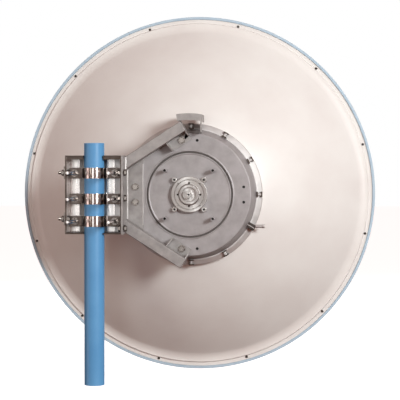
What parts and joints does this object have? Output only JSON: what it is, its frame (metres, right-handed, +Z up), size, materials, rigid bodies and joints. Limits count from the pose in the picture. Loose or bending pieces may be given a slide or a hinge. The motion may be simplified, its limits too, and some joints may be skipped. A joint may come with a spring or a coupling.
{
  "type": "parabolic dish antenna",
  "caption": "Spun parabolic dish antenna on a cast hub, carried by a two-armed bracket and a strap clamp on a round pole stub.",
  "frame": {"origin": "centre of the pole stub's foot face", "axes": "+Z up along the pole, +Y the way the dish faces, +X to the right when the dish is seen from behind"},
  "size_m": [1.32, 0.6013, 1.321],
  "materials": {
    "pole_paint": "satin blue paint",
    "dish_paint": "satin cream paint on aluminium",
    "trim_paint": "satin pale blue paint",
    "cast_aluminium": "bare casting, satin",
    "bracket_aluminium": "bare casting, satin",
    "tray_steel": "stainless sheet, satin",
    "strap_steel": "stainless, polished",
    "bolt_steel": "stainless fasteners",
    "feed_aluminium": "turned, satin",
    "feed_plastic": "matte"
  },
  "bodies": {
    "pole": {"pole_tube": "pole_paint", "pole_foot_plate": "pole_paint", "pole_top_plug": "pole_paint"},
    "clamp": {"clamp_tray": "tray_steel", "strap_upper": "strap_steel", "strap_middle": "strap_steel", "strap_lower": "strap_steel", "stud_upper_left": "bolt_steel", "stud_upper_right": "bolt_steel", "stud_middle_left": "bolt_steel", "stud_middle_right": "bolt_steel", "stud_lower_left": "bolt_steel", "stud_lower_right": "bolt_steel", "tilt_bolt_upper": "bolt_steel", "pivot_bolt": "bolt_steel", "tilt_bolt_lower": "bolt_steel", "end_bolt_upper": "bolt_steel", "end_bolt_lower": "bolt_steel"},
    "antenna": {"side_plate": "bracket_aluminium", "arm_upper": "bracket_aluminium", "arm_lower": "bracket_aluminium", "bracket_foot": "bracket_aluminium", "bracket_bolt_top": "bolt_steel", "bracket_bolt_left_upper": "bolt_steel", "bracket_bolt_left_lower": "bolt_steel", "bracket_bolt_bottom": "bolt_steel", "hub_casting": "cast_aluminium", "hub_ring": "cast_aluminium", "post_upper_left": "cast_aluminium", "post_upper_right": "cast_aluminium", "post_lower_left": "cast_aluminium", "post_lower_right": "cast_aluminium", "top_hood": "cast_aluminium", "ring_cleat": "cast_aluminium", "feed_flange": "feed_aluminium", "feed_tube": "feed_aluminium", "feed_cone": "feed_plastic", "feed_cap": "feed_aluminium", "reflector": "dish_paint", "rim_trim": "trim_paint"}
  },
  "joints": [
    {"name": "azimuth", "type": "hinge", "parent": "pole", "child": "clamp", "pos_m": [0, 0, 0.661], "axis": [0, 0, 1], "range_deg": [-180, 180]},
    {"name": "elevation", "type": "hinge", "parent": "clamp", "child": "antenna", "pos_m": [0, -0.01, 0.6495], "axis": [1, 0, 0], "range_deg": [-8, 8]}
  ]
}
